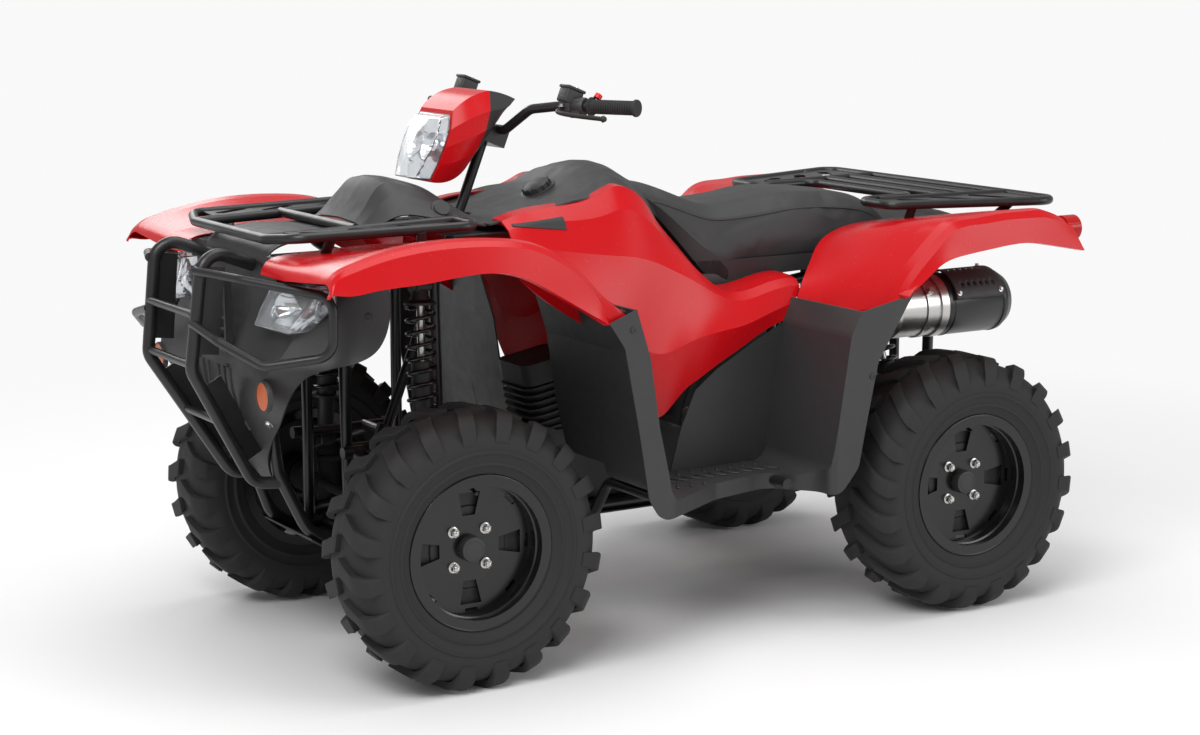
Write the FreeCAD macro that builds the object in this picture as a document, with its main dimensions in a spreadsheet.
import FreeCAD, Part
import math
import os
from types import SimpleNamespace

import Sketcher
from FreeCAD import Vector

# A utility quad bike, standing as parked. Millimetres, +X forward, +Y to the rider's left, +Z up.
# The origin is on the ground, midway along the vehicle's whole length.

SIZES = (
    ("wheelbase", 1306, "front axle to rear axle"),
    ("front_axle_x", 575, "front axle ahead of the origin"),
    ("tyre_radius", 306, "ground to axle, out to the tips of the tread"),
    ("front_wheel_y", 445, "middle of a front tyre from the middle of the vehicle"),
    ("front_tyre_width", 203, "widest part of a front tyre"),
    ("front_rim_width", 166, "over the flanges of a front rim"),
    ("rear_wheel_y", 485, "middle of a rear tyre from the middle of the vehicle"),
    ("rear_tyre_width", 236, "widest part of a rear tyre"),
    ("rear_rim_width", 198, "over the flanges of a rear rim"),
    ("lug_count", 20, "tread lugs on each shoulder"),
    ("lug_depth", 13, "how far the lugs stand out of the tyre"),
    ("rim_seat_radius", 152, "where the tyre's bead sits"),
    ("rim_flange_radius", 169, "outer edge of the rim flange"),
    ("rim_wall", 5, "steel of the barrel, flanges and disc"),
    ("rim_disc_recess", 53, "outer flange to the face of the disc"),
    ("hub_radius", 48, "wheel hub"),
    ("hub_back_y", 48, "wheel hub reaches this far inboard of the tyre's middle"),
    ("hub_cap_radius", 27, "dust cap on the hub"),
    ("hub_cap_height", 16, "dust cap past the disc"),
    ("stub_radius", 15, "stub axle"),
    ("bearing_gap", 0.1, "radial clearance of every turning fit"),
    ("seat_gap", 0.3, "clearance between pieces that rest on each other"),
    ("running_gap", 5, "least distance between pieces that pass each other"),
    ("rail_y", 110, "frame rails from the middle of the vehicle"),
    ("rail_radius", 14, "frame tube"),
    ("rail_bend", 70, "bend of a frame tube, to its middle line"),
    ("cross_radius", 12.7, "cross tubes, towers and outriggers of the frame"),
    ("brace_radius", 10, "short braces of the frame"),
    ("hanger_radius", 8, "rod that carries the silencer"),
    ("lower_rail_z", 262, "middle of the lower frame tubes"),
    ("tower_half_span", 115, "suspension pivots ahead of and behind their axle"),
    ("arm_radius", 11, "suspension arm tube"),
    ("lower_arm_drop", 9, "a lower arm's tubes meet the eye this far below its middle"),
    ("arm_barrel_radius", 14, "bush at the inner end of an arm"),
    ("arm_barrel_length", 50, "bush at the inner end of an arm, along the vehicle"),
    ("lower_pivot_z", 300, "inner pivots of the lower arms"),
    ("front_upper_pivot_z", 470, "inner pivots of the front upper arms"),
    ("rear_upper_pivot_z", 430, "inner pivots of the rear upper arms"),
    ("eye_radius", 20, "outer eye of an arm"),
    ("eye_height", 26, "outer eye of an arm"),
    ("lower_eye_drop", 61, "lower outer eyes below the axles"),
    ("upper_eye_rise", 79, "upper outer eyes above the axles"),
    ("kingpin_y", 350, "steering pivot of a front wheel"),
    ("kingpin_radius", 18, "upright boss of the knuckle"),
    ("carrier_y", 368, "upright of a rear wheel carrier"),
    ("carrier_hub_radius", 38, "bearing housing on a knuckle or carrier"),
    ("steer_arm_back", 95, "tie rod eye behind the kingpin"),
    ("steer_arm_in", 20, "tie rod eye inboard of the kingpin"),
    ("steer_arm_rise", 46, "steering arms above the axles"),
    ("steer_arm_radius", 9, "steering arm rod"),
    ("steer_eye_height", 22, "eye at the end of the steering arm"),
    ("rod_eye_radius", 12, "tie rod eyes"),
    ("rod_eye_height", 16, "tie rod eyes"),
    ("rod_radius", 7, "tie rod"),
    ("rod_inner_y", 40, "inner tie rod eyes from the middle"),
    ("rod_inner_x", 488, "inner tie rod eyes ahead of the origin"),
    ("steer_tilt", 22, "steering shaft leans back from upright, in degrees"),
    ("steer_head_x", 270, "steering axis at the handlebar clamp"),
    ("steer_head_z", 1150, "steering axis at the handlebar clamp"),
    ("shaft_radius", 12, "steering shaft"),
    ("shaft_foot_z", 430, "lower end of the steering shaft"),
    ("pitman_length", 80, "steering shaft to the tie rod bolts"),
    ("pitman_thickness", 8, "plate at the foot of the steering shaft"),
    ("ring_radius", 24, "steering bearing housing"),
    ("ring_height", 36, "steering bearing housing"),
    ("bar_radius", 11, "handlebar tube"),
    ("bar_bend", 45, "bend of the handlebar"),
    ("grip_radius", 16.5, "rubber grip"),
    ("grip_length", 122, "rubber grip"),
    ("grip_z", 1226, "middle of the grips"),
    ("grip_end_y", 405, "outer end of the grips"),
    ("bumper_radius", 14, "upright tubes of the front guard"),
    ("loop_radius", 10, "side loops of the front guard"),
    ("rack_radius", 11, "rack tube"),
    ("rack_wall", 4, "flat steel on the sides of the racks"),
    ("front_rack_z", 978, "middle of the front rack tubes"),
    ("rear_rack_z", 958, "middle of the rear rack tubes"),
    ("panel_wall", 4, "moulded panels"),
    ("nose_x", 958, "front of the nose panel between the uprights of the guard"),
    ("fender_y", 562, "crest of the fenders from the middle"),
    ("fender_lip_y", 580, "lip of the fenders from the middle"),
    ("floor_z", 366, "underside of the footwell floor"),
    ("splash_y", 130, "inner edge of the splash wall behind a front wheel"),
    ("footwell_y", 300, "inner edge of the footwell floor"),
    ("mudguard_y", 580, "outer edge of the mudguards"),
    ("engine_front_x", 300, "front face of the engine"),
    ("engine_rear_x", -250, "rear face of the engine"),
    ("engine_width", 190, "engine block"),
    ("engine_top_z", 640, "top of the engine block"),
    ("skid_wall", 3, "skid plate"),
    ("skid_half_width", 130, "skid plate"),
    ("diff_radius", 50, "front and rear final drive housings"),
    ("diff_width", 120, "front and rear final drive housings"),
    ("half_shaft_radius", 12, "drive shafts to the wheels"),
    ("boot_radius", 28, "rubber boots on the drive shafts"),
    ("prop_shaft_radius", 16, "shafts from the engine to the final drives"),
    ("silencer_radius", 75, "silencer"),
    ("silencer_lead", 131, "silencer's front ahead of the rear axle"),
    ("silencer_length", 385, "silencer"),
    ("silencer_y", 332, "silencer axis"),
    ("silencer_clearance", 18, "silencer above the rear tyre"),
    ("exhaust_radius", 20, "exhaust pipe"),
    ("damper_rod_radius", 17, "lower tube of a shock absorber"),
    ("spring_radius", 36, "outside of a coil spring"),
    ("spring_wire", 6, "half the thickness of the spring wire"),
    ("spring_turns", 8, "turns of a coil spring"),
    ("tail_lamp_radius", 31, "tail lamp"),
    ("tail_lamp_depth", 42, "tail lamp"),
    ("reflector_radius", 30, "amber side reflector"),
    ("reflector_depth", 10, "amber side reflector"),
    ("hitch_bore", 16, "bore for a ball or drawbar pin"),
    ("hitch_wall", 8, "hitch plate"),
    ("hitch_width", 120, "hitch plate"),
    ("hitch_rear_x", -1010, "rear edge of the hitch plate"),
)

doc = FreeCAD.newDocument("quad_bike")
sheet = doc.addObject("Spreadsheet::Sheet", "Sizes")
for row, (alias, number, meaning) in enumerate(SIZES, start=1):
    sheet.set(f"A{row}", meaning)
    sheet.set(f"B{row}", str(number))
    sheet.setAlias(f"B{row}", alias)
doc.recompute()

d = SimpleNamespace(**{alias: float(sheet.get(alias)) for alias, number, meaning in SIZES})

rear_axle_x = d.front_axle_x - d.wheelbase
lower_eye_z = d.tyre_radius - d.lower_eye_drop
upper_eye_z = d.tyre_radius + d.upper_eye_rise
steer_arm_z = d.tyre_radius + d.steer_arm_rise
silencer_front_x = rear_axle_x + d.silencer_lead
silencer_z = 2 * d.tyre_radius + d.silencer_radius + d.silencer_clearance
tilt = math.radians(d.steer_tilt)
steer_axis = Vector(-math.sin(tilt), 0, math.cos(tilt))
steer_head = Vector(d.steer_head_x, 0, d.steer_head_z)
forward = Vector(1, 0, 0)
left = Vector(0, 1, 0)
up = Vector(0, 0, 1)


# Helpers for shapes.

def mirrored(shape):
    """The same shape on the other side of the vehicle."""
    return shape.mirror(Vector(0, 0, 0), left)


def pair(shape):
    """A left piece and its right twin."""
    return Part.makeCompound([shape, mirrored(shape)])


def united(shapes):
    """One solid from several that overlap, or a group of solids if some stand apart."""
    whole = shapes[0].multiFuse(shapes[1:]).removeSplitter()
    return whole.Solids[0] if len(whole.Solids) == 1 else whole


def rod(start, end, radius):
    """A straight round bar between two points."""
    return Part.makeCylinder(radius, (end - start).Length, start, end - start)


def rounded_path(points, bend):
    """Straight runs joined by tangent arcs of the bend's radius, or less where a run is short."""
    edges = []
    start = points[0]
    for before, corner, after in zip(points, points[1:], points[2:]):
        back = (before - corner).normalize()
        ahead = (after - corner).normalize()
        half_turn = (math.pi - back.getAngle(ahead)) / 2
        shorter = min((before - corner).Length, (after - corner).Length)
        reach = min(bend * math.tan(half_turn), 0.45 * shorter)
        radius = reach / math.tan(half_turn)
        first = corner + back * reach
        last = corner + ahead * reach
        inward = (back + ahead).normalize()
        middle = corner + inward * (math.hypot(radius, reach) - radius)
        edges.append(Part.makeLine(start, first))
        edges.append(Part.Arc(first, middle, last).toShape())
        start = last
    edges.append(Part.makeLine(start, points[-1]))
    return Part.Wire(edges)


def tube(points, radius, bend):
    """A round tube along straight runs and bends; it is drawn solid."""
    path = rounded_path(points, bend)
    section = Part.Wire(Part.makeCircle(radius, points[0], points[1] - points[0]))
    return path.makePipeShell([section], True, False)


def four_sided(a, b, c, e):
    """A flat or slightly twisted face on four corners."""
    return Part.makeRuledSurface(Part.makeLine(a, b), Part.makeLine(e, c))


def solid_from(faces):
    shell = Part.makeShell(faces)
    shell.sewShape()
    solid = Part.makeSolid(shell)
    if solid.Volume < 0:
        solid.reverse()
    return solid


def beside(points, normal, wall):
    """An open line of points moved sideways in its plane by a wall's thickness, with mitred corners."""
    sides = [normal.cross(after - before).normalize() for before, after in zip(points, points[1:])]
    sides = [sides[0]] + sides + [sides[-1]]
    return [point + (one + other) * (wall / (1 + one.dot(other)))
            for point, one, other in zip(points, sides, sides[1:])]


def across(place, profile, turn=0, lean=0):
    """A section of a panel: y and z of its outer face, in a plane that turns with y and leans with z.

    The plane passes x = place at the first point of the profile.
    """
    first_y, first_z = profile[0]
    points = [Vector(place + turn * (y - first_y) + lean * (z - first_z), y, z) for y, z in profile]
    return Vector(1, -turn, -lean).normalize(), points


def both_sides(half):
    """A whole profile from its left half, listed from the edge to the middle."""
    return [(-y, z) for y, z in half] + [(y, z) for y, z in half[-2::-1]]


def curve_through(points):
    """A smooth curve through a row of points."""
    curve = Part.BSplineCurve()
    curve.interpolate(list(points))
    return curve.toShape()


def skin(outlines):
    """A solid through closed outlines with as many corners each.

    Each corner runs on as one smooth curve, and ruled faces span from curve to curve.
    """
    rails = [curve_through(corner) for corner in zip(*outlines)]
    strips = [Part.makeRuledSurface(one, other) for one, other in zip(rails, rails[1:] + rails[:1])]
    ends = [Part.Face(Part.makePolygon(outline + outline[:1])) for outline in (outlines[0], outlines[-1])]
    return solid_from(strips + ends)


def panel(sections, wall):
    """A moulded panel of even wall through flat sections; a negative wall lies inside the outer face."""
    return skin([points + beside(points, normal, wall)[::-1] for normal, points in sections])


def outline_between(low, high, half_widths):
    """A symmetrical closed outline between a low and a high point, half widths from low to high."""
    steps = len(half_widths) - 1
    right_side = []
    for step, half_width in enumerate(half_widths):
        centre = low + (high - low) * (step / steps)
        right_side.append(centre - left * half_width)
    return right_side + [Vector(p.x, -p.y, p.z) for p in reversed(right_side)]


def largest(shape):
    """The main piece of a shape that a cut has parted."""
    return max(shape.Solids, key=lambda solid: solid.Volume)


def add(label, shape):
    """A sub-part of the document from a finished shape."""
    feature = doc.addObject("Part::Feature", label)
    feature.Label = label
    feature.Shape = shape
    return feature


# Helpers for bodies with sketches.

def origin_plane(body, role):
    return next(feature for feature in body.Origin.OriginFeatures if feature.Role == role)


def polygon_sketch(body, name, role, corners):
    """A closed outline whose corners are pairs of formulas on the sheet."""
    sketch = body.newObject("Sketcher::SketchObject", name)
    sketch.AttachmentSupport = [(origin_plane(body, role), "")]
    sketch.MapMode = "FlatFace"
    places = [Vector(*(float(sketch.evalExpression(term)) for term in corner), 0) for corner in corners]
    count = len(places)
    for index, place in enumerate(places):
        sketch.addGeometry(Part.LineSegment(place, places[(index + 1) % count]), False)
    for index in range(count):
        sketch.addConstraint(Sketcher.Constraint("Coincident", index, 2, (index + 1) % count, 1))
    for index, (across, along) in enumerate(corners):
        for kind, term, number in (("DistanceX", across, places[index].x), ("DistanceY", along, places[index].y)):
            constraint = sketch.addConstraint(Sketcher.Constraint(kind, -1, 1, index, 1, number))
            sketch.setExpression(f"Constraints[{constraint}]", term)
    return sketch


def circle_sketch(body, name, role, across, along, radius):
    """A circle whose centre and radius are formulas on the sheet."""
    sketch = body.newObject("Sketcher::SketchObject", name)
    sketch.AttachmentSupport = [(origin_plane(body, role), "")]
    sketch.MapMode = "FlatFace"
    centre = Vector(float(sketch.evalExpression(across)), float(sketch.evalExpression(along)), 0)
    size = float(sketch.evalExpression(radius))
    sketch.addGeometry(Part.Circle(centre, Vector(0, 0, 1), size), False)
    for kind, term, number in (("DistanceX", across, centre.x), ("DistanceY", along, centre.y)):
        constraint = sketch.addConstraint(Sketcher.Constraint(kind, -1, 1, 0, 3, number))
        sketch.setExpression(f"Constraints[{constraint}]", term)
    constraint = sketch.addConstraint(Sketcher.Constraint("Radius", 0, size))
    sketch.setExpression(f"Constraints[{constraint}]", radius)
    return sketch


def turned_body(label, corners):
    """A ring or wheel turned about the Y axis; corners are radius and distance along the axle."""
    body = doc.addObject("PartDesign::Body", label)
    body.Label = label
    sketch = polygon_sketch(body, label + "_profile", "XY_Plane", corners)
    turned = body.newObject("PartDesign::Revolution", label + "_turned")
    turned.Profile = sketch
    turned.ReferenceAxis = (sketch, ["V_Axis"])
    turned.Angle = 360
    return body


def pattern_of_holes(body, name, corners, count):
    """A hole through a turned disc, repeated round its axle; corners are radial and sideways places."""
    sketch = polygon_sketch(body, name, "XZ_Plane", corners)
    hole = body.newObject("PartDesign::Pocket", name + "_hole")
    hole.Profile = sketch
    hole.Type = "ThroughAll"
    hole.Midplane = True
    pattern = body.newObject("PartDesign::PolarPattern", name + "_pattern")
    pattern.Originals = [hole]
    pattern.Axis = (sketch, ["N_Axis"])
    pattern.Angle = 360
    pattern.Occurrences = count
    body.Tip = pattern


# Wheels.

def around(point, angle):
    """A point turned about the Y axis, in degrees."""
    return FreeCAD.Rotation(left, angle).multVec(point)


def patch(corners):
    """Flat triangles over three or four corners; corners that coincide count once."""
    distinct = [corner for place, corner in enumerate(corners)
                if all((corner - other).Length > 0.01 for other in corners[:place])]
    return [Part.Face(Part.makePolygon([distinct[0], one, other, distinct[0]]))
            for one, other in zip(distinct[1:], distinct[2:])]


def tyre(width, rim_width, slant):
    """A low-pressure tyre with slanting lugs on both shoulders, staggered by half a pitch.

    Its outline is rows of corners across the tyre, each with its distance along the axle and its radius
    in a groove and on a lug. Lugs and grooves take turns round every row.
    """
    half = width / 2
    steps = 2 * round(d.lug_count)
    widen = 1 / math.cos(math.pi / steps)
    bead = rim_width / 2 - d.rim_wall + 1 - d.seat_gap
    bore = (d.rim_seat_radius + d.seat_gap) * widen
    flange = (d.rim_flange_radius + 2) * widen
    tip = d.tyre_radius
    base = tip - d.lug_depth
    half_rows = [(bead, bore, bore), (bead, flange, flange), (half, tip - 62, tip - 62), (half - 6, tip - 49, tip - 27),
                 (half - 34, base, tip - 1), (4, base, tip), (4, base, base)]
    rows = half_rows + [(-along, groove, high) for along, groove, high in reversed(half_rows)]
    faces = []
    for near, far in zip(rows, rows[1:] + rows[:1]):
        parity = 0 if near[0] + far[0] > 0 else 1

        def corner(row, step, on_lug):
            turn = 360 * step / steps + math.degrees(slant * abs(row[0]) / tip)
            return around(Vector(0, row[0], row[2] if on_lug else row[1]), turn)

        for step in range(steps):
            on_lug = step % 2 == parity
            faces += patch([corner(near, step, on_lug), corner(near, step + 1, on_lug),
                            corner(far, step + 1, on_lug), corner(far, step, on_lug)])
            faces += patch([corner(near, step, True), corner(far, step, True),
                            corner(far, step, False), corner(near, step, False)])
    return solid_from(faces)


def wheel(label, axle_x, wheel_y, rim_width, side):
    """A pressed steel rim with its disc, hub and dust cap; side is 1 on the left."""
    edge = f"{side} * (Sizes.{rim_width} / 2"
    seat = "Sizes.rim_seat_radius"
    inner = "Sizes.rim_seat_radius - Sizes.rim_wall"
    face = edge + " - Sizes.rim_disc_recess"
    corners = (
        ("Sizes.rim_flange_radius", edge + ")"),
        ("Sizes.rim_flange_radius", edge + " - Sizes.rim_wall + 1)"),
        (seat, edge + " - Sizes.rim_wall + 1)"),
        (seat, f"-({edge} - Sizes.rim_wall + 1))"),
        ("Sizes.rim_flange_radius", f"-({edge} - Sizes.rim_wall + 1))"),
        ("Sizes.rim_flange_radius", f"-({edge}))"),
        (inner, f"-({edge}))"),
        (inner, face + " - 6)"),
        ("Sizes.hub_radius + 30", face + " - 12)"),
        ("Sizes.hub_radius", face + " - 12)"),
        ("Sizes.hub_radius", f"-{side} * Sizes.hub_back_y"),
        ("Sizes.stub_radius + Sizes.bearing_gap", f"-{side} * Sizes.hub_back_y"),
        ("Sizes.stub_radius + Sizes.bearing_gap", face + " - 10)"),
        ("0", face + " - 10)"),
        ("0", face + " + Sizes.hub_cap_height)"),
        ("Sizes.hub_cap_radius", face + " + Sizes.hub_cap_height)"),
        ("Sizes.hub_cap_radius", face + " - 6)"),
        ("Sizes.hub_radius + 30", face + " - 6)"),
        (inner, face + ")"),
        (inner, edge + ")"),
    )
    body = turned_body(label, corners)
    outer = "(Sizes.rim_seat_radius - Sizes.rim_wall - 24)"
    window = ((outer, "-26"), (outer, "26"), ("Sizes.hub_radius + 24", "15"), ("Sizes.hub_radius + 24", "-15"))
    edge = "(Sizes.rim_seat_radius - Sizes.rim_wall - 6)"
    vent = ((edge, "-16"), (edge, "16"), (edge + " - 9", "15"), (edge + " - 9", "-15"))
    pattern_of_holes(body, label + "_window", window, 4)
    pattern_of_holes(body, label + "_vent", vent, 8)
    body.Placement.Base = Vector(axle_x, wheel_y, d.tyre_radius)
    return body


tyre_shapes = {
    "front": tyre(d.front_tyre_width, d.front_rim_width, 0.42),
    "rear": tyre(d.rear_tyre_width, d.rear_rim_width, 0.6),
}
for side_name, side in (("left", 1), ("right", -1)):
    for end_name, axle_x, wheel_y in (
        ("front", d.front_axle_x, d.front_wheel_y),
        ("rear", rear_axle_x, d.rear_wheel_y),
    ):
        tyre_shape = tyre_shapes[end_name].copy()
        tyre_shape.translate(Vector(axle_x, side * wheel_y, d.tyre_radius))
        add(f"tyre_{end_name}_{side_name}", tyre_shape)
        wheel(f"wheel_{end_name}_{side_name}", axle_x, side * wheel_y, f"{end_name}_rim_width", side)


# Steering knuckles, wheel carriers and tie rods.

eye_gap = 0.5
boss_low_z = lower_eye_z + d.eye_height / 2 + eye_gap
boss_high_z = upper_eye_z - d.eye_height / 2 - eye_gap


def upright(axle_x, pivot_y, wheel_y, rim_width):
    """A boss between the arms, the bearing housing and the stub axle."""
    boss = Part.makeCylinder(d.kingpin_radius, boss_high_z - boss_low_z, Vector(axle_x, pivot_y, boss_low_z))
    hub_back = wheel_y - d.hub_back_y
    housing_end = hub_back - d.running_gap
    axle = Vector(axle_x, pivot_y, d.tyre_radius)
    housing = Part.makeCylinder(d.carrier_hub_radius, housing_end - pivot_y, axle, left)
    stub_end = wheel_y + rim_width / 2 - d.rim_disc_recess - 10 - d.running_gap
    stub = Part.makeCylinder(d.stub_radius, stub_end - pivot_y, axle, left)
    return [boss, housing, stub]


def knuckle():
    """The left front upright with its steering arm."""
    pieces = upright(d.front_axle_x, d.kingpin_y, d.front_wheel_y, d.front_rim_width)
    root = Vector(d.front_axle_x, d.kingpin_y, steer_arm_z)
    tip = root + Vector(-d.steer_arm_back, -d.steer_arm_in, 0)
    pieces.append(rod(root, tip, d.steer_arm_radius))
    eye_low = tip - up * (d.steer_eye_height / 2)
    pieces.append(Part.makeCylinder(d.rod_eye_radius, d.steer_eye_height, eye_low))
    return united(pieces)


def tie_rod():
    """The left tie rod, from the eye above the steering arm to the open eye below the pitman plate."""
    eye_z = steer_arm_z + d.steer_eye_height / 2 + eye_gap
    outer = Vector(d.front_axle_x - d.steer_arm_back, d.kingpin_y - d.steer_arm_in, eye_z)
    inner = Vector(d.rod_inner_x, d.rod_inner_y, eye_z)
    lift = up * (d.rod_eye_height / 2)
    return united([
        Part.makeCylinder(d.rod_eye_radius, d.rod_eye_height, outer),
        Part.makeCylinder(d.rod_eye_radius, d.rod_eye_height, inner),
        rod(outer + lift, inner + lift, d.rod_radius),
    ])


left_knuckle = knuckle()
left_tie_rod = tie_rod()
add("knuckle_left", left_knuckle)
add("knuckle_right", mirrored(left_knuckle))
add("tie_rod_left", left_tie_rod)
add("tie_rod_right", mirrored(left_tie_rod))
rear_carrier = united(upright(rear_axle_x, d.carrier_y, d.rear_wheel_y, d.rear_rim_width))
add("rear_carriers", pair(rear_carrier))


# Frame.

barrel_y = d.rail_y + d.cross_radius + d.arm_barrel_radius + d.seat_gap
bumper_half = 128
hitch_z = d.lower_rail_z + 69
shaft_end_low = steer_head - steer_axis * ((d.steer_head_z - d.shaft_foot_z) / math.cos(tilt))

rail_nose = Vector(865, 80, 585)
rail_tail = Vector(rear_axle_x - 224, d.rail_y, 607.5)
lower_rail = [
    rail_nose, Vector(845, 75, 430), Vector(790, 100, d.lower_rail_z + 38),
    Vector(735, d.rail_y, d.lower_rail_z), Vector(rear_axle_x - 129, d.rail_y, d.lower_rail_z),
    Vector(rear_axle_x - 219, d.rail_y, 400), rail_tail,
]
upper_rail = [
    rail_tail, Vector(rear_axle_x - 229, d.rail_y, 815), Vector(-200, d.rail_y, 720), Vector(60, 100, 860),
    Vector(330, 100, 874), Vector(620, 100, 874), Vector(820, 95, 850), Vector(885, 85, 740), rail_nose,
]


def point_on_steering(z):
    """Where the steering axis passes a height."""
    return Vector(d.steer_head_x + (d.steer_head_z - z) * math.tan(tilt), 0, z)


def point_on_upper_rail(x):
    """Where the middle line of the left upper rail passes a place along the vehicle."""
    for rear, front in zip(upper_rail[1:], upper_rail[2:-1]):
        if rear.x <= x <= front.x:
            return rear + (front - rear) * ((x - rear.x) / (front.x - rear.x))
    raise ValueError(f"the upper rail does not reach x = {x}")


front_shock_bar = point_on_upper_rail(d.front_axle_x - 12)
rear_shock_x = rear_axle_x + 11
rear_shock_bar_z = 684
low_ring_z = d.shaft_foot_z + 45


def cross_tube(x, z, half_width):
    """A straight tube from side to side."""
    return rod(Vector(x, -half_width, z), Vector(x, half_width, z), d.cross_radius)


def frame_side():
    """The left loop of the frame with its towers, outriggers, stays and shock mounts."""
    low = d.lower_rail_z
    pieces = [tube(lower_rail, d.rail_radius, d.rail_bend), tube(upper_rail, d.rail_radius, d.rail_bend)]
    for axle_x in (d.front_axle_x, rear_axle_x):
        for reach in (-d.tower_half_span, d.tower_half_span):
            x = axle_x + reach
            pieces.append(rod(Vector(x, d.rail_y, low), point_on_upper_rail(x), d.cross_radius))
    outrigger_z = d.floor_z - d.cross_radius - d.seat_gap
    for x in (90, -240):
        run = [Vector(x, d.rail_y, low), Vector(x, d.rail_y + 70, low), Vector(x, 250, outrigger_z),
               Vector(x, 500, outrigger_z)]
        pieces.append(tube(run, d.cross_radius, 50))
    brace = forward * d.tower_half_span
    middle = Vector(d.front_axle_x, d.rail_y, low_ring_z)
    pieces.append(rod(middle - brace, middle + brace, d.brace_radius))
    nose_stay = upper_rail[-2] * 0.25 + rail_nose * 0.75
    pieces.append(rod(nose_stay, Vector(d.nose_x - d.panel_wall / 2, nose_stay.y, 690), d.brace_radius))
    pieces.append(rod(front_shock_bar, front_shock_bar + left * 155, d.cross_radius))
    head = Vector(rear_shock_x, d.rail_y, rear_shock_bar_z)
    pieces.append(rod(head, head + left * 105, d.cross_radius))
    pieces.append(rod(head, point_on_upper_rail(rear_shock_x), d.brace_radius))
    return united(pieces)


def cross_tubes(sides):
    """The tubes from side to side, each ending on the rails; two carry a bearing of the steering shaft."""
    tubes = [cross_tube(x, d.lower_rail_z, d.rail_y) for x in (655, 200, -150, -560)]
    tubes.append(cross_tube(-905, hitch_z, d.rail_y))
    for x in (-800, -300):
        tubes.append(cross_tube(x, point_on_upper_rail(x).z, d.rail_y))
    tubes.append(cross_tube(front_shock_bar.x, front_shock_bar.z, front_shock_bar.y))
    bore = rod(shaft_end_low - steer_axis * 50, steer_head, d.shaft_radius + d.bearing_gap)
    for z, half_width in ((low_ring_z, d.rail_y), (front_shock_bar.z, front_shock_bar.y)):
        centre = point_on_steering(z)
        half = steer_axis * (d.ring_height / 2)
        ring = rod(centre - half, centre + half, d.ring_radius)
        tubes.append(united([cross_tube(centre.x, z, half_width), ring]).cut(bore))
    return [largest(piece.cut(sides)) for piece in tubes]


frame_right = mirrored(frame_side())
hanger = rod(point_on_upper_rail(rear_axle_x - 59), Vector(rear_axle_x - 59, d.silencer_y, silencer_z), d.hanger_radius)
frame_left = united([mirrored(frame_right), hanger])
frame_parts = [frame_left, frame_right] + cross_tubes([frame_left, frame_right])


# Suspension.

def wishbone(axle_x, pivot_z, eye_y, eye_z, drop):
    """A left arm: two tubes from the frame bushes to the outer eye."""
    eye = Vector(axle_x, eye_y, eye_z)
    root = eye - up * drop
    pieces = [Part.makeCylinder(d.eye_radius, d.eye_height, eye - up * (d.eye_height / 2))]
    for reach in (-d.tower_half_span, d.tower_half_span):
        bush = Vector(axle_x + reach, barrel_y, pivot_z)
        half = forward * (d.arm_barrel_length / 2)
        pieces.append(rod(bush - half, bush + half, d.arm_barrel_radius))
        pieces.append(rod(bush, root, d.arm_radius))
    return united(pieces)


def arm_point(axle_x, pivot_z, eye_y, eye_z, y):
    """Height of an arm, and how far its legs are from the axle, at a distance from the middle."""
    share = (y - barrel_y) / (eye_y - barrel_y)
    return pivot_z + (eye_z - pivot_z) * share, d.tower_half_span * (1 - share)


def damper(low, high, half_eye):
    """A left shock absorber: eye, lower tube, coil spring with its turns as ridges, top and eye."""
    axis = (high - low).normalize()
    length = (high - low).Length
    eye_radius = d.arm_barrel_radius
    spring_low = 0.30 * length
    spring_high = 0.86 * length
    pitch = (spring_high - spring_low) / d.spring_turns
    outline = [Vector(0, 0, spring_low), Vector(d.spring_radius - d.spring_wire, 0, spring_low)]
    for turn in range(int(d.spring_turns)):
        start = spring_low + turn * pitch
        outline.append(Vector(d.spring_radius, 0, start + pitch / 4))
        outline.append(Vector(d.spring_radius, 0, start + pitch / 2))
        outline.append(Vector(d.spring_radius - 2 * d.spring_wire, 0, start + 0.75 * pitch))
    outline.append(Vector(d.spring_radius - d.spring_wire, 0, spring_high))
    outline.append(Vector(0, 0, spring_high))
    spring = Part.Face(Part.makePolygon(outline + outline[:1])).revolve(Vector(0, 0, 0), up, 360)
    spring.Placement = FreeCAD.Placement(low, FreeCAD.Rotation(up, axis))
    parts = [spring, rod(low, high, d.damper_rod_radius)]
    for end in (low, high):
        parts.append(rod(end - forward * half_eye, end + forward * half_eye, eye_radius))
    return united(parts)


front_lower_arm = wishbone(d.front_axle_x, d.lower_pivot_z, d.kingpin_y, lower_eye_z, d.lower_arm_drop)
front_upper_arm = wishbone(d.front_axle_x, d.front_upper_pivot_z, d.kingpin_y, upper_eye_z, 0)
rear_lower_arm = wishbone(rear_axle_x, d.lower_pivot_z, d.carrier_y, lower_eye_z, d.lower_arm_drop)
rear_upper_arm = wishbone(rear_axle_x, d.rear_upper_pivot_z, d.carrier_y, upper_eye_z, 0)
add("front_arms", Part.makeCompound([front_lower_arm, front_upper_arm,
                                     mirrored(front_lower_arm), mirrored(front_upper_arm)]))
add("rear_arms", Part.makeCompound([rear_lower_arm, rear_upper_arm,
                                    mirrored(rear_lower_arm), mirrored(rear_upper_arm)]))


def seated_damper(axle_x, pivot_z, eye_y, foot_y, head, arm):
    """A damper whose lower eye sits between the legs of the upper arm."""
    foot_z, leg_reach = arm_point(axle_x, pivot_z, eye_y, upper_eye_z, foot_y)
    half_eye = leg_reach - d.arm_radius - 1
    low = Vector(axle_x, foot_y, foot_z)
    return damper(low, head, min(half_eye, 30)).cut(arm)


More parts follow.
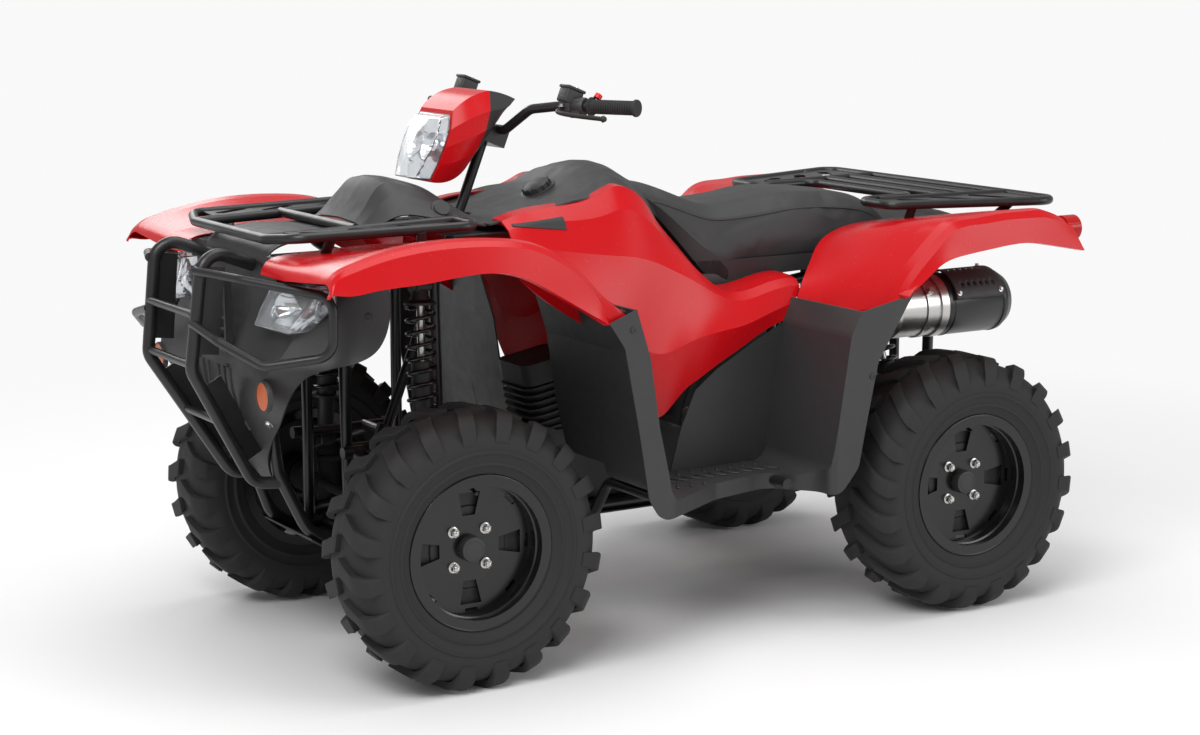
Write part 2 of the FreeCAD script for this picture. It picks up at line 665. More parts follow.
shock_drop = d.cross_radius + d.arm_barrel_radius + d.seat_gap
front_damper_head = Vector(front_shock_bar.x, 232, front_shock_bar.z - shock_drop)
front_damper = seated_damper(d.front_axle_x, d.front_upper_pivot_z, d.kingpin_y, 262,
                             front_damper_head, front_upper_arm)
rear_damper_head = Vector(rear_shock_x, 190, rear_shock_bar_z - shock_drop)
rear_damper = seated_damper(rear_axle_x, d.rear_upper_pivot_z, d.carrier_y, 285,
                            rear_damper_head, rear_upper_arm)
add("front_dampers", pair(front_damper))
add("rear_dampers", pair(rear_damper))


# Engine, drive and exhaust.

def rounded_block(width, depth, height, bend, middle):
    """An upright block with rounded corners round its own vertical axis."""
    block = Part.makeBox(width, depth, height, middle - Vector(width / 2, depth / 2, height / 2))
    upright_edges = [edge for edge in block.Edges if abs(edge.tangentAt(edge.FirstParameter).z) > 0.9]
    return block.makeFillet(bend, upright_edges)


def engine():
    """Crankcase with its bolted side covers, finned cylinder leaning forward and the head on it."""
    low = d.lower_rail_z + d.cross_radius + d.seat_gap
    front = d.engine_front_x
    rear = d.engine_rear_x
    half = d.engine_width / 2
    crown = d.engine_top_z - 190
    corners = [Vector(rear, 0, low + 40), Vector(rear + 60, 0, low), Vector(front - 60, 0, low),
               Vector(front, 0, low + 60), Vector(front, 0, crown - 90), Vector(front - 90, 0, crown),
               Vector(0, 0, crown), Vector(-60, 0, crown - 30), Vector(rear + 30, 0, crown - 30),
               Vector(rear, 0, crown - 80)]
    case = Part.Face(Part.makePolygon(corners + corners[:1])).extrude(left * (d.engine_width - 30))
    case.translate(left * (15 - half))
    pieces = [case]
    for x, z, radius in ((front - 120, low + 100, 88), (rear + 110, low + 96, 74)):
        pieces.append(Part.makeCylinder(radius, d.engine_width - 14, Vector(x, 7 - half, z), left))
        pieces.append(Part.makeCylinder(radius - 22, d.engine_width, Vector(x, -half, z), left))
    fins = 7
    rise = (d.engine_top_z - 70 - crown) / fins
    cylinder = [rounded_block(120, 120, d.engine_top_z - crown, 30, Vector(0, 0, (d.engine_top_z + crown) / 2 - 30))]
    for step in range(fins):
        cylinder.append(rounded_block(156, 150, 5, 30, Vector(0, 0, crown + rise * (step + 0.6))))
    cylinder.append(rounded_block(146, 146, 52, 24, Vector(0, 0, d.engine_top_z - 44)))
    for piece in cylinder:
        piece.rotate(Vector(0, 0, crown), left, 10)
        piece.translate(Vector(110, 0, 0))
    return united(pieces + cylinder)


def drivetrain():
    """Final drives, propeller shafts and the half shafts with their boots."""
    z = d.lower_pivot_z
    half = d.diff_width / 2
    pieces = []
    for axle_x, end_y in ((d.front_axle_x, d.kingpin_y), (rear_axle_x, d.carrier_y)):
        face = end_y - d.kingpin_radius - 2 * d.running_gap
        pieces.append(Part.makeCylinder(d.diff_radius, 2 * half, Vector(axle_x, -half, z), left))
        for way in (1, -1):
            pieces.append(rod(Vector(axle_x, 0, z), Vector(axle_x, way * face, d.tyre_radius),
                              d.half_shaft_radius))
            for y in (half + 8, face - 36):
                near = Vector(axle_x, way * y, z + (d.tyre_radius - z) * y / face)
                pieces.append(Part.makeCone(d.boot_radius, d.boot_radius - 8, 34, near, left * way))
    for engine_x, axle_x in ((d.engine_front_x - 80, d.front_axle_x), (d.engine_rear_x + 80, rear_axle_x)):
        pieces.append(rod(Vector(engine_x, 0, z), Vector(axle_x, 0, z), d.prop_shaft_radius))
    return united(pieces)


def silencer():
    """A round silencer with a clamp band and a tapered front."""
    body = doc.addObject("PartDesign::Body", "silencer")
    body.Label = "silencer"
    radius = "Sizes.silencer_radius"
    far = "Sizes.silencer_length"
    corners = (
        ("0", "0"),
        (radius + " - 25", "0"),
        (radius + " - 3", "45"),
        (radius + " - 3", far + " * 0.42"),
        (radius + " + 2", far + " * 0.42"),
        (radius + " + 2", far + " * 0.42 + 22"),
        (radius, far + " * 0.42 + 22"),
        (radius, far + " - 18"),
        (radius + " - 12", far),
        ("24", far),
        ("24", far + " - 20"),
        ("0", far + " - 20"),
    )
    sketch = polygon_sketch(body, "silencer_profile", "XY_Plane", corners)
    turned = body.newObject("PartDesign::Revolution", "silencer_turned")
    turned.Profile = sketch
    turned.ReferenceAxis = (sketch, ["V_Axis"])
    turned.Angle = 360
    body.Placement = FreeCAD.Placement(Vector(silencer_front_x, d.silencer_y, silencer_z),
                                       FreeCAD.Rotation(left, Vector(-1, 0, 0)))
    return body


def exhaust_pipe():
    """The pipe from the back of the engine to the silencer."""
    run = [Vector(d.engine_rear_x, 55, 440), Vector(rear_axle_x + 401, 55, 440), Vector(rear_axle_x + 261, d.silencer_y - 40, 640),
           Vector(rear_axle_x + 201, d.silencer_y, silencer_z), Vector(silencer_front_x, d.silencer_y, silencer_z)]
    return tube(run, d.exhaust_radius, 60)


silencer_body = silencer()
doc.recompute()
drivetrain_shape = drivetrain()
pipe_shape = exhaust_pipe()
add("engine", largest(engine().cut([drivetrain_shape, pipe_shape])))
add("drivetrain", drivetrain_shape)
add("exhaust_pipe", pipe_shape)
frame_parts[0] = largest(frame_left.cut(silencer_body.Shape))


# Front guard and racks.

def web(start, end, inset):
    """A flat strip behind a guard tube."""
    corners = [start, start + inset, end + inset, end]
    return Part.Face(Part.makePolygon(corners + corners[:1])).extrude(left * d.rack_wall)


def front_bumper():
    """Two upright tubes on flat strips that run down into their struts, with cross bars between them."""
    upright_run = [Vector(905, 110, 905), Vector(1030, 138, 952), Vector(1061, bumper_half, 689),
                   Vector(897, 62, 410), Vector(838, 77, 408)]
    left_upright = tube(upright_run, d.bumper_radius, 45)
    upper_web = web(Vector(1036, 135, 915), Vector(1055, bumper_half + 1, 725), Vector(-56, 0, -6))
    lower_web = web(Vector(1036, 120, 648), Vector(928, 76, 462), Vector(-44, 0, 24))
    side = united([left_upright, upper_web, lower_web])
    pieces = [side, mirrored(side)]
    for x, z in ((1052, 810), (1058, 700), (988, 565)):
        half_width = bumper_half if z > 600 else 96
        pieces.append(rod(Vector(x, -half_width, z), Vector(x, half_width, z), d.loop_radius - 1))
    return united(pieces)


def bumper_loop():
    """The left side loop of the guard, round the headlamp."""
    return tube([Vector(1047, 135, 905), Vector(1000, 270, 898), Vector(862, 430, 868), Vector(866, 432, 745),
                 Vector(985, 345, 722), Vector(1045, 240, 768), Vector(1056, 130, 792)], d.loop_radius, 40)


def slotted(plate, slots, radius):
    """A flat plate with long holes, each given by the middles of its two round ends."""
    tools = []
    for start, end in slots:
        across_slot = (end - start).cross(up).normalize() * radius
        corners = [start + across_slot, end + across_slot, end - across_slot, start - across_slot]
        tools.append(Part.Face(Part.makePolygon(corners + corners[:1])).extrude(up * 40))
        tools += [Part.makeCylinder(radius, 40, middle) for middle in (start, end)]
    for tool in tools:
        tool.translate(up * -20)
    return plate.cut(tools)


def rack_leg(points):
    return tube(points, d.rack_radius, 30)


def front_rack():
    """The front carrier: outer loop, cross tubes, slotted sides and legs to the frame."""
    z = d.front_rack_z
    loop = [Vector(911, 0, z - 8), Vector(911, 200, z - 8), Vector(880, 292, z), Vector(460, 323, z + 4),
            Vector(460, 0, z + 4)]
    side = [tube(loop, d.rack_radius, 40)]
    side.append(rod(Vector(911, 190, z - 8), Vector(460, 205, z + 4), d.rack_radius))
    side.append(rack_leg([Vector(600, 318, z), Vector(580, 290, front_shock_bar.z + 20),
                          front_shock_bar + left * 140]))
    side.append(rack_leg([Vector(800, 299, z), Vector(800, 200, 880), point_on_upper_rail(780)]))
    edge = [Vector(870, 200, z), Vector(858, 290, z), Vector(490, 318, z), Vector(490, 210, z), Vector(870, 200, z)]
    plate = Part.Face(Part.makePolygon(edge)).extrude(up * d.rack_wall)
    slots = [(Vector(x, 232, z), Vector(x - 70, 278, z)) for x in (835, 720, 605)]
    side.append(slotted(plate, slots, 13))
    pieces = side + [mirrored(piece) for piece in side]
    for x in (700, 585):
        pieces.append(rod(Vector(x, -200, z), Vector(x, 200, z), d.rack_radius))
    return united(pieces)


def rear_rack():
    """The rear carrier, wider towards the back."""
    z = d.rear_rack_z
    loop = [Vector(rear_axle_x - 89, 0, z), Vector(rear_axle_x - 89, 212, z), Vector(rear_axle_x + 81, 212, z), Vector(rear_axle_x + 81, 337, z),
            Vector(rear_axle_x - 333, 476, z), Vector(rear_axle_x - 333, 0, z)]
    side = [tube(loop, d.rack_radius, 40)]
    side.append(rod(Vector(rear_axle_x + 41, 240, z), Vector(rear_axle_x - 333, 276, z), d.rack_radius))
    side.append(rack_leg([Vector(rear_axle_x + 21, 352, z), Vector(rear_axle_x + 15, 292, 850),
                          Vector(rear_shock_x, 200, rear_shock_bar_z)]))
    side.append(rack_leg([Vector(rear_axle_x - 219, 430, z), Vector(rear_axle_x - 209, 340, 890), point_on_upper_rail(rear_axle_x - 139)]))
    edge = [Vector(rear_axle_x + 61, 240, z), Vector(rear_axle_x + 61, 340, z), Vector(rear_axle_x - 309, 462, z), Vector(rear_axle_x - 309, 276, z),
            Vector(rear_axle_x + 61, 240, z)]
    plate = Part.Face(Part.makePolygon(edge)).extrude(up * d.rack_wall)
    slots = [(Vector(x, 282, z), Vector(x - 50, 282 + (rear_axle_x + 131 - x) * 0.33, z))
             for x in (rear_axle_x + 1, rear_axle_x - 99, rear_axle_x - 199)]
    side.append(slotted(plate, slots, 15))
    pieces = side + [mirrored(piece) for piece in side]
    for x in (rear_axle_x - 169, rear_axle_x - 249):
        pieces.append(rod(Vector(x, -265, z), Vector(x, 265, z), d.rack_radius))
    return united(pieces)


bumper_shape = largest(front_bumper().cut(frame_parts))
left_bumper_loop = largest(bumper_loop().cut(bumper_shape))
front_rack_shape = largest(front_rack().cut(frame_parts))
rear_rack_shape = largest(rear_rack().cut(frame_parts))


# Body panels.

def front_fender():
    """The left front fender: dished under the rack, rounded at its edge, falling to the mudguard."""
    crest = d.fender_y
    lip = d.fender_lip_y
    sections = []
    for crest_x, crest_z, lip_x, lip_z, dish in (
        (927, 918, 938, 889, 16), (912, 936, 936, 893, 8), (880, 950, 912, 894, 14), (805, 970, 842, 897, 30),
        (700, 984, 734, 903, 40), (620, 986, 640, 912, 42), (540, 982, 556, 913, 42), (450, 966, 490, 897, 32),
        (388, 936, 430, 866, 20), (324, 886, 362, 826, 2), (268, 830, 318, 800, -8), (217, 796, 283, 780, -12),
    ):
        lean = (lip_x - crest_x) / (lip_z - crest_z)
        profile = [(222, crest_z - dish), (340, crest_z - dish), (440, crest_z - 0.5 * dish), (505, crest_z - 3),
                   (crest - 24, crest_z), (crest - 6, crest_z - 4), (crest + 8, crest_z - 15), (lip, lip_z),
                   (lip - 16, lip_z - 2)]
        sections.append(across(crest_x - lean * dish, profile, lean=lean))
    return panel(sections, -d.panel_wall)


def rear_fender():
    """The left rear fender: climbs beside the seat, runs back level and drops to the tail lamp."""
    lip = d.fender_lip_y
    rim = (530, 552, 568, lip, lip - 16)
    sections = []
    for place, turn, lean, inner, rim_z in (
        (rear_axle_x + 354, -0.50, 0, ((312, 695), (368, 700), (430, 730), (490, 740)), (752, 760, 768, 776, 778)),
        (rear_axle_x + 301, -0.50, 0, ((290, 792), (362, 801), (430, 814), (490, 832)), (845, 844, 837, 813, 812)),
        (rear_axle_x + 253, -0.45, 0, ((250, 824), (340, 846), (430, 874), (490, 890)), (896, 893, 884, 847, 845)),
        (rear_axle_x + 197, -0.40, 0, ((215, 868), (315, 894), (415, 920), (490, 934)), (938, 934, 922, 860, 858)),
        (rear_axle_x + 97, -0.30, 0, ((200, 900), (300, 917), (390, 930), (465, 940)), (946, 942, 929, 868, 866)),
        (rear_axle_x - 9, -0.20, 0, ((196, 906), (290, 919), (380, 932), (460, 943)), (951, 948, 934, 875, 873)),
        (rear_axle_x - 119, -0.10, 0, ((196, 906), (290, 919), (380, 932), (460, 943)), (952, 949, 934, 876, 874)),
        (rear_axle_x - 209, 0, 0, ((196, 901), (290, 915), (380, 929), (460, 941)), (951, 948, 932, 868, 866)),
        (rear_axle_x - 272, 0, 0.35, ((196, 884), (290, 898), (380, 912), (460, 926)), (937, 934, 918, 854, 852)),
        (rear_axle_x - 316, 0, 0.5, ((196, 862), (290, 876), (380, 890), (460, 904)), (918, 916, 902, 846, 844)),
    ):
        profile = list(inner) + list(zip(rim, rim_z))
        sections.append(across(place, profile, turn, lean))
    return panel(sections, -d.panel_wall)


def side_cover():
    """The left side cover, from the fender past the tank to the seat, creased above its lower edge."""
    sections = []
    for place, lean, profile in (
        (345, 0, ((170, 975), (212, 973), (245, 955), (272, 920), (290, 885), (298, 850))),
        (230, 0, ((170, 998), (214, 996), (248, 968), (282, 905), (308, 830), (314, 760))),
        (94, 0, ((170, 1020), (214, 1017), (250, 975), (290, 885), (322, 750), (315, 650))),
        (52, 0, ((168, 1039), (214, 1034), (250, 985), (292, 880), (328, 680), (315, 560))),
        (-31, -0.06, ((166, 1001), (212, 997), (250, 948), (292, 858), (330, 655), (314, 503))),
        (-61, 0.035, ((166, 958), (212, 954), (250, 915), (292, 838), (331, 672), (314, 559))),
        (-120, 0, ((168, 888), (216, 885), (252, 860), (292, 810), (331, 685), (314, 585))),
        (-185, -0.09, ((172, 816), (222, 813), (256, 802), (292, 775), (331, 694), (314, 611))),
        (rear_axle_x + 487, -0.1, ((172, 779), (224, 775), (258, 771), (292, 755), (324, 700), (312, 642))),
        (rear_axle_x + 421, -0.2, ((172, 782), (224, 780), (258, 776), (290, 762), (316, 715), (310, 672))),
        (rear_axle_x + 291, -0.8, ((172, 796), (226, 793), (256, 788), (286, 775), (306, 738), (308, 700))),
    ):
        sections.append(across(place, profile, lean=lean))
    return panel(sections, -d.panel_wall)


def tank_cover():
    """The dark cover over the fuel tank, dished ahead of its crown and open round the steering shaft."""
    sections = []
    for x, middle_z, shoulder, edge in (
        (372, 964, (95, 966), (206, 968)), (300, 972, (95, 974), (208, 980)), (230, 982, (95, 986), (208, 992)),
        (150, 1004, (100, 1006), (206, 1008)), (94, 1036, (105, 1030), (204, 1016)),
        (52, 1066, (105, 1056), (200, 1034)), (5, 1077, (100, 1064), (196, 1016)),
        (-41, 1062, (90, 1046), (188, 975)), (-98, 1030, (75, 1015), (176, 922)),
    ):
        inner = (shoulder[0] * 0.5, middle_z * 0.75 + shoulder[1] * 0.25)
        outer = ((shoulder[0] + edge[0]) / 2, shoulder[1] * 0.62 + edge[1] * 0.38)
        sections.append(across(x, both_sides([edge, outer, shoulder, inner, (0, middle_z)])))
    well = rod(point_on_steering(900), point_on_steering(1100), d.shaft_radius + 18)
    return panel(sections, -d.panel_wall).cut(well)


def front_cowl():
    """The dark cowl ahead of the handlebar."""
    sections = []
    for x, middle_z, shoulder, edge in (
        (650, 984, (85, 980), (150, 966)), (612, 1034, (85, 1026), (160, 982)), (577, 1068, (82, 1060), (168, 996)),
        (520, 1064, (88, 1052), (180, 992)), (460, 1044, (98, 1030), (192, 980)), (405, 1008, (105, 998), (200, 970)),
        (380, 990, (105, 983), (204, 966)),
    ):
        inner = (shoulder[0] * 0.5, middle_z - 2)
        outer = ((shoulder[0] + edge[0]) / 2, shoulder[1] * 0.6 + edge[1] * 0.4)
        sections.append(across(x, both_sides([edge, outer, shoulder, inner, (0, middle_z)])))
    return panel(sections, -d.panel_wall)


def front_hood():
    """The lid between the sides of the front rack."""
    sections = []
    for x, middle_z, edge_z in ((902, 922, 912), (885, 950, 940), (850, 962, 955), (760, 966, 960), (655, 966, 960)):
        sections.append(across(x, both_sides([(172, edge_z), (150, edge_z + 4), (90, middle_z - 1), (0, middle_z)])))
    return panel(sections, -d.panel_wall)


def front_panels():
    """The dark nose: wide behind the lamps, narrow between the struts."""
    sections = []
    for z, profile in (
        (912, ((895, 0), (893, 130), (845, 330), (760, 455))),
        (830, ((925, 0), (920, 130), (880, 330), (745, 455))),
        (745, ((948, 0), (945, 130), (925, 320), (775, 440))),
        (690, ((d.nose_x, 0), (d.nose_x - 1, 130), (965, 300), (900, 360))),
        (610, ((950, 0), (948, 110), (945, 220), (925, 300))),
        (540, ((925, 0), (922, 60), (910, 120), (885, 165))),
        (470, ((888, 0), (886, 30), (880, 55), (872, 85))),
        (400, ((842, 0), (841, 15), (839, 28), (837, 38))),
    ):
        half = [Vector(x, y, z) for x, y in reversed(profile)]
        sections.append((up, half + [Vector(p.x, -p.y, p.z) for p in reversed(half[:-1])]))
    return panel(sections, -d.panel_wall)


def upright_face(edges):
    """A flat face in the middle plane from edges that follow each other round it."""
    return Part.Face(Part.Wire(Part.__sortEdges__(edges)))


def footwell():
    """The left footwell: mudguards and floor as one bent sheet, with a flange turned away from the foot."""
    front_x = d.front_axle_x - d.tyre_radius
    rear_x = rear_axle_x + d.tyre_radius
    floor = d.floor_z + d.panel_wall
    rim_z = d.floor_z - 33
    inside = [Vector(front_x - 53, 0, 808), Vector(front_x - 88, 0, 697), Vector(front_x - 111, 0, 540), Vector(front_x - 149, 0, floor),
              Vector(rear_x + 119, 0, floor), Vector(rear_x + 89, 0, 557), Vector(rear_x + 65, 0, 700), Vector(rear_x + 37, 0, 752)]
    outside = [Vector(rear_x - 109, 0, 780), Vector(rear_x - 12, 0, 633), Vector(rear_x + 23, 0, 478), Vector(rear_x + 41, 0, 390),
               Vector(rear_x + 90, 0, rim_z), Vector(front_x - 115, 0, rim_z), Vector(front_x - 83, 0, 384), Vector(front_x - 57, 0, 544),
               Vector(front_x - 23, 0, 725), Vector(front_x + 16, 0, 783)]
    inside_path = rounded_path(inside, 40).Edges
    outside_path = rounded_path(outside, 40).Edges
    ends = [Part.makeLine(inside[-1], outside[0]), Part.makeLine(outside[-1], inside[0])]
    thick = upright_face(inside_path + outside_path + ends)
    high = 900
    lid = [Part.makeLine(inside[-1], Vector(rear_x + 37, 0, high)), Part.makeLine(Vector(rear_x + 37, 0, high), Vector(front_x - 53, 0, high)),
           Part.makeLine(Vector(front_x - 53, 0, high), inside[0])]
    foot_space = upright_face(inside_path + lid).makeOffset2D(d.panel_wall)
    edge = d.mudguard_y
    plan_path = [Vector(400, edge, 0), Vector(front_x - 142, edge, 0), Vector(-60, 470, 0), Vector(-225, 430, 0),
                 Vector(rear_x + 119, 532, 0), Vector(rear_x + 119, edge, 0), Vector(rear_x - 275, edge, 0)]
    far = [Vector(rear_x - 275, 100, 0), Vector(400, 100, 0), plan_path[0]]
    plan = Part.Face(Part.Wire(Part.__sortEdges__(rounded_path(plan_path, 60).Edges + [
        Part.makeLine(plan_path[-1], far[0]), Part.makeLine(far[0], far[1]), Part.makeLine(far[1], far[2])])))
    width = edge - d.footwell_y
    block = thick.extrude(left * width)
    block.translate(left * d.footwell_y)
    block = block.common(plan.extrude(up * high))
    hollow = plan.makeOffset2D(-d.panel_wall).extrude(up * high)
    space = foot_space.extrude(left * 2 * edge)
    shell = largest(block.cut(hollow.cut(space)))
    wall = [Vector(front_x - 19, 0, 836), inside[0], inside[1], inside[2], Vector(front_x - 141, 0, floor + 40)]
    wall += beside(wall, left, -d.panel_wall)[::-1]
    splash = Part.Face(Part.makePolygon(wall + wall[:1])).extrude(left * (d.footwell_y + 3 - d.splash_y))
    splash.translate(left * d.splash_y)
    return united([shell, splash])


def leg_shield():
    """The dark inner wall of the left footwell, below the side cover."""
    low = d.floor_z + d.panel_wall
    rear_x = rear_axle_x + d.tyre_radius
    corners = [(-42, low), (-72, 470), (-112, 556), (-170, 600), (-280, 658), (rear_x + 63, 694),
               (rear_x + 73, 640), (rear_x + 87, 557), (rear_x + 119, low)]
    points = [Vector(x, 304, z) for x, z in corners]
    return Part.Face(Part.makePolygon(points + points[:1])).extrude(left * d.panel_wall)


def rear_deck():
    """The dark middle panel behind the seat."""
    sections = []
    for x, middle_z, edge_z in ((-785, 876, 872), (rear_axle_x - 119, 904, 898), (rear_axle_x - 259, 902, 894), (rear_axle_x - 305, 874, 866)):
        half = [(200, edge_z), (130, middle_z - 1), (80, middle_z), (0, middle_z)]
        sections.append(across(x, both_sides(half)))
    return panel(sections, -d.panel_wall)


def seat():
    """The saddle: a narrow nose on the tank, a dip for the rider and a broad back."""
    outlines = []
    for x, low_z, top_z, base, side, shoulder, crown in (
        (-94, 980, 1033, 80, 86, 70, 40), (-160, 905, 1004, 126, 132, 108, 70),
        (-206, 842, 985, 148, 154, 128, 84), (-269, 786, 964, 158, 166, 146, 98),
        (-340, 786, 964, 161, 172, 153, 104), (rear_axle_x + 322, 789, 969, 162, 174, 157, 108),
        (rear_axle_x + 241, 792, 978, 162, 176, 160, 111), (rear_axle_x + 111, 796, 973, 160, 178, 162, 114),
        (rear_axle_x + 30, 812, 961, 158, 176, 158, 110), (rear_axle_x - 29, 842, 938, 148, 166, 148, 104),
        (rear_axle_x - 69, 868, 912, 134, 148, 132, 92),
    ):
        tall = top_z - low_z
        half = [(base, low_z), (side, low_z + 0.35 * tall), (shoulder, top_z - 0.16 * tall),
                (crown, top_z - 0.02 * tall), (0, top_z)]
        outlines.append([Vector(x, y, z) for y, z in both_sides(half)])
    return skin(outlines)


# Lamps and steering.

def headlamp():
    """A left headlamp: a flat-backed lens that leans back and outwards with the nose."""
    corners = ((258, 882), (384, 880), (398, 850), (338, 786), (232, 794), (240, 830))
    outline = [Vector(920 - 0.3 * (y - 232) - 0.3 * (z - 850), y, z) for y, z in corners]
    front = Part.makePolygon([p + forward * 20 for p in outline + outline[:1]])
    back = Part.makePolygon([p - forward * 30 for p in outline + outline[:1]])
    return Part.makeLoft([back, front], True, True)


def grille():
    """An upright frame with blades across, between the upright tubes."""
    face = Part.makeBox(16, 190, 170, Vector(950, -95, 715))
    window = Part.makeBox(40, 174, 154, Vector(940, -87, 723))
    blades = [Part.makeBox(14, 176, 5, Vector(951, -88, 740 + 24 * step)) for step in range(6)]
    return united([face.cut(window)] + blades)


def steering_shaft():
    """The shaft with its pitman plate and the handlebar clamp."""
    length = (steer_head - shaft_end_low).Length
    side = Vector(math.cos(tilt), 0, math.sin(tilt))
    back = side * -d.pitman_length
    plate_low = -steer_axis * d.pitman_thickness
    corners = [side * 22 + left * 20, back - side * 16 + left * (d.rod_inner_y + 14),
               back - side * 16 - left * (d.rod_inner_y + 14), side * 22 - left * 20]
    corners = [shaft_end_low + corner + plate_low for corner in corners]
    plate = Part.Face(Part.makePolygon(corners + corners[:1])).extrude(steer_axis * d.pitman_thickness)
    shaft = Part.makeCylinder(d.shaft_radius, length, shaft_end_low, steer_axis)
    clamp = Part.makeBox(60, 110, 40, Vector(-30, -55, -20))
    clamp.Placement = FreeCAD.Placement(steer_head, FreeCAD.Rotation(up, steer_axis))
    pod_stay = rod(steer_head + side * 20, steer_head + side * 42, d.brace_radius)
    return united([plate, shaft, clamp, pod_stay])


def handlebar():
    """The handlebar tube, whole width."""
    half = [Vector(258, 75, 1164), Vector(238, 160, 1216), Vector(200, 235, d.grip_z), Vector(163, 290, d.grip_z),
            Vector(104, d.grip_end_y - 4, d.grip_z)]
    points = [Vector(p.x, -p.y, p.z) for p in reversed(half)] + half
    return tube(points, d.bar_radius, d.bar_bend)


handlebar_shape = handlebar()


def grip():
    """The left grip, closed at its outer end."""
    outer = Vector(104, d.grip_end_y, d.grip_z)
    inward = (Vector(163, 290, d.grip_z) - outer).normalize()
    return rod(outer, outer + inward * d.grip_length, d.grip_radius).cut(handlebar_shape)


def bar_controls():
    """Lever perches, switch box, levers and brake fluid pots."""
    start = Vector(163, 290, d.grip_z)
    along = (Vector(104, d.grip_end_y, d.grip_z) - start).normalize()
    inner = start - along * 46
    perch = rod(inner, start - along * 8, 21)
    lever = tube([inner + along * 20, inner + Vector(45, 10, -4), inner + Vector(48, 60, -10),
                  inner + Vector(8, 130, -16)], 6, 20)
    pot = Part.makeCylinder(22, 44, inner + Vector(12, -4, 6), steer_axis)
    side = united([perch, lever, pot]).cut(handlebar_shape)
    return pair(largest(side))


def pod_piece(places):
    """A piece of the headlamp pod through outlines from its front to its back."""
    return skin([outline_between(Vector(*low), Vector(*high), widths) for low, high, widths in places])


pod_face = ((442, 0, 1053), (393, 0, 1214), (58, 78, 90, 94, 78))
pod_edge = ((350, 0, 1080), (300, 0, 1256), (54, 88, 108, 108, 82))
pod_lamp_shape = pod_piece((((482, 0, 1062), (420, 0, 1198), (48, 64, 74, 77, 66)),
                            ((440.2, 0, 1059), (396, 0, 1204), (54, 71, 82, 86, 73))))
pod_cover_shape = pod_piece((pod_face, ((402, 0, 1052), (350, 0, 1244), (60, 88, 104, 106, 84)), pod_edge))
pod_back_shape = pod_piece((pod_edge, ((325, 0, 1112), (262, 0, 1248), (48, 76, 92, 92, 68)),
                            ((300, 0, 1180), (215, 0, 1232), (40, 56, 64, 62, 48))))
shaft_shape = steering_shaft().cut(handlebar_shape)
pod_back_shape = largest(pod_back_shape.cut(shaft_shape).cut(handlebar_shape))

add("steering_shaft", largest(shaft_shape))
add("handlebar", handlebar_shape)
add("grips", pair(grip()))
add("bar_controls", bar_controls())
add("pod_lamp", largest(pod_lamp_shape.cut(pod_cover_shape)))
add("pod_cover", pod_cover_shape)
add("pod_back", pod_back_shape)


def tail_lamp():
    """A round lamp at the rear corner of the left fender."""
    return Part.makeCylinder(d.tail_lamp_radius, d.tail_lamp_depth, Vector(rear_axle_x - 284, 535, 898), -forward)


def reflector():
    """The amber reflector beside the left strut."""
    return Part.makeCylinder(d.reflector_radius, d.reflector_depth, Vector(962, 300, 650), forward)


# Skid plate and hitch, from sketches.

def skid_plate():
    """A flat plate under the lower rails, turned up at the front."""
    body = doc.addObject("PartDesign::Body", "skid_plate")
    body.Label = "skid_plate"
    top = "Sizes.lower_rail_z - Sizes.rail_radius - Sizes.seat_gap"
    bottom = top + " - Sizes.skid_wall"
    corners = (
        ("-845", top), ("738", top), ("792", top + " + 35"), ("793", bottom + " + 35"),
        ("739", bottom), ("-845", bottom),
    )
    sketch = polygon_sketch(body, "skid_profile", "XZ_Plane", corners)
    pad = body.newObject("PartDesign::Pad", "skid_width")
    pad.Profile = sketch
    pad.setExpression("Length", "2 * Sizes.skid_half_width")
    pad.Midplane = True
    return body


def hitch():
    """The towing plate behind the rear cross tube, with its bore."""
    body = doc.addObject("PartDesign::Body", "hitch")
    body.Label = "hitch"
    front = "-905 - Sizes.cross_radius - Sizes.seat_gap"
    half = "Sizes.hitch_width / 2"
    rear = "Sizes.hitch_rear_x"
    corners = (
        (front, half), (rear + " + 30", half), (rear, half + " - 30"), (rear, f"-({half} - 30)"),
        (rear + " + 30", f"-({half})"), (front, f"-({half})"),
    )
    sketch = polygon_sketch(body, "hitch_outline", "XY_Plane", corners)
    pad = body.newObject("PartDesign::Pad", "hitch_plate")
    pad.Profile = sketch
    pad.setExpression("Length", "Sizes.hitch_wall")
    bore = circle_sketch(body, "hitch_bore_circle", "XY_Plane", rear + " + 40", "0", "Sizes.hitch_bore / 2")
    pocket = body.newObject("PartDesign::Pocket", "hitch_hole")
    pocket.Profile = bore
    pocket.Type = 1
    pocket.Midplane = True
    body.Placement.Base = Vector(0, 0, hitch_z - d.hitch_wall / 2)
    return body


skid_plate()
hitch()


# The panels, each cut back to the pieces that it meets.

front_lamps = pair(largest(headlamp().cut(left_bumper_loop)))
left_tail_lamp = tail_lamp()
left_reflector = reflector()
grille_shape = grille()
left_front_fender = front_fender()
left_rear_fender = rear_fender()
left_side_cover = side_cover()
left_footwell = footwell()
left_leg_shield = leg_shield()
tank_shape = tank_cover()
cowl_shape = front_cowl()
hood_shape = front_hood()
panels_shape = front_panels()
deck_shape = rear_deck()
seat_shape = seat()

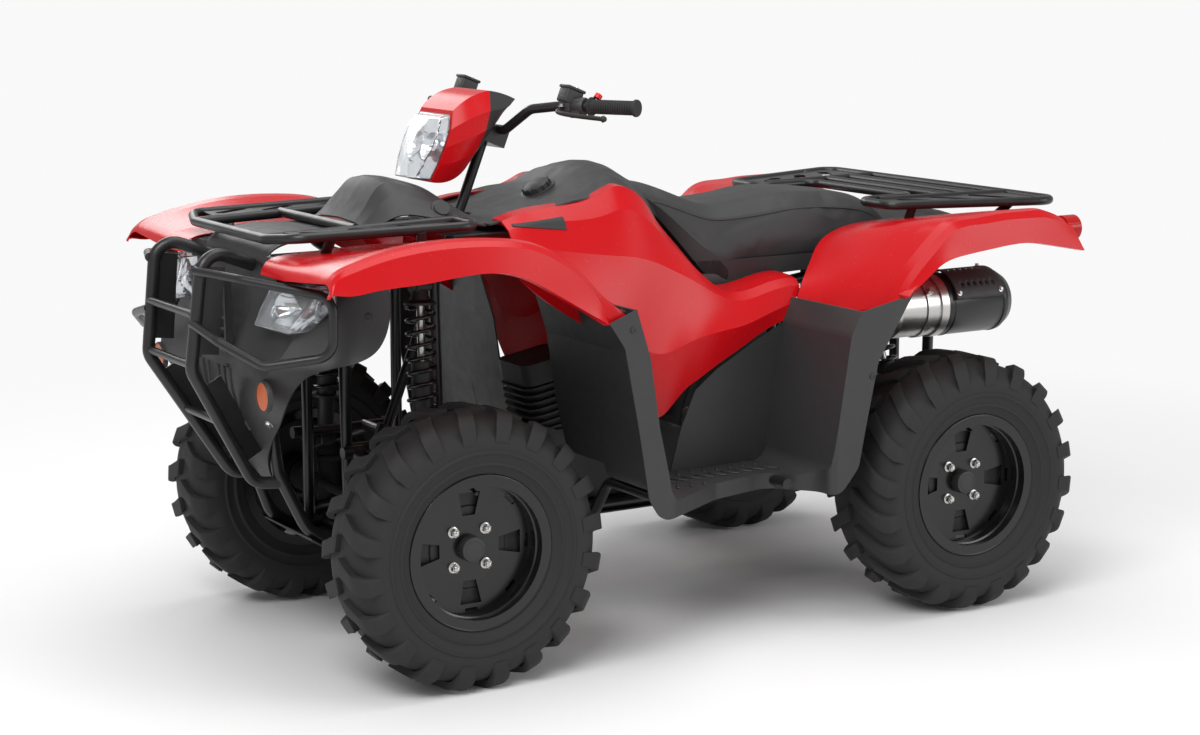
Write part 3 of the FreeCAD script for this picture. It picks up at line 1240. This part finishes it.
left_front_fender = largest(left_front_fender.cut(front_rack_shape))
left_rear_fender = largest(left_rear_fender.cut(rear_rack_shape).cut(left_tail_lamp))
left_footwell = largest(left_footwell.cut([left_front_fender, left_rear_fender] + frame_parts))
left_side_cover = largest(left_side_cover.cut(left_front_fender).cut(left_rear_fender).cut(left_footwell))
left_leg_shield = largest(left_leg_shield.cut(left_footwell).cut(left_side_cover))
side_covers = pair(left_side_cover)
tank_shape = largest(tank_shape.cut(side_covers))
cowl_shape = largest(cowl_shape.cut(front_rack_shape).cut(side_covers))
hood_shape = largest(hood_shape.cut([front_rack_shape, cowl_shape, bumper_shape]))
panels_shape = largest(panels_shape.cut(front_lamps).cut(grille_shape).cut(pair(left_front_fender))
                       .cut([bumper_shape] + frame_parts).cut(pair(left_reflector)))
seat_shape = largest(seat_shape.cut(side_covers).cut(tank_shape).cut(pair(left_rear_fender))
                     .cut(frame_parts))
deck_shape = largest(deck_shape.cut(pair(left_rear_fender)).cut(rear_rack_shape).cut(seat_shape))

add("frame_left", frame_parts[0])
add("frame_right", frame_parts[1])
add("cross_tubes", Part.makeCompound(frame_parts[2:]))
add("front_bumper", bumper_shape)
add("bumper_loops", pair(left_bumper_loop))
add("front_rack", front_rack_shape)
add("rear_rack", rear_rack_shape)
add("front_fenders", pair(left_front_fender))
add("rear_fenders", pair(left_rear_fender))
add("side_covers", side_covers)
add("footwells", pair(left_footwell))
add("leg_shields", pair(left_leg_shield))
add("tank_cover", tank_shape)
add("front_cowl", cowl_shape)
add("front_hood", hood_shape)
add("front_panels", panels_shape)
add("rear_deck", deck_shape)
add("seat", seat_shape)
add("headlamps", front_lamps)
add("grille", grille_shape)
add("tail_lamps", pair(left_tail_lamp))
add("reflectors", pair(left_reflector))


# Check and write.

doc.recompute()
os.makedirs("parts", exist_ok=True)
sub_parts = [item for item in doc.Objects if item.TypeId in ("Part::Feature", "PartDesign::Body")]
for item in doc.Objects:
    if "Invalid" in item.State or "Error" in item.State:
        raise RuntimeError(f"{item.Label} did not recompute: {item.State}")
for item in sub_parts:
    if item.Shape.isNull() or not item.Shape.isValid() or not item.Shape.Solids:
        raise RuntimeError(f"{item.Label} has no valid solid")
for item in sub_parts:
    item.Shape.exportStep(os.path.join("parts", item.Label + ".step"))
    print(item.Label, len(item.Shape.Solids), round(item.Shape.Volume / 1000))
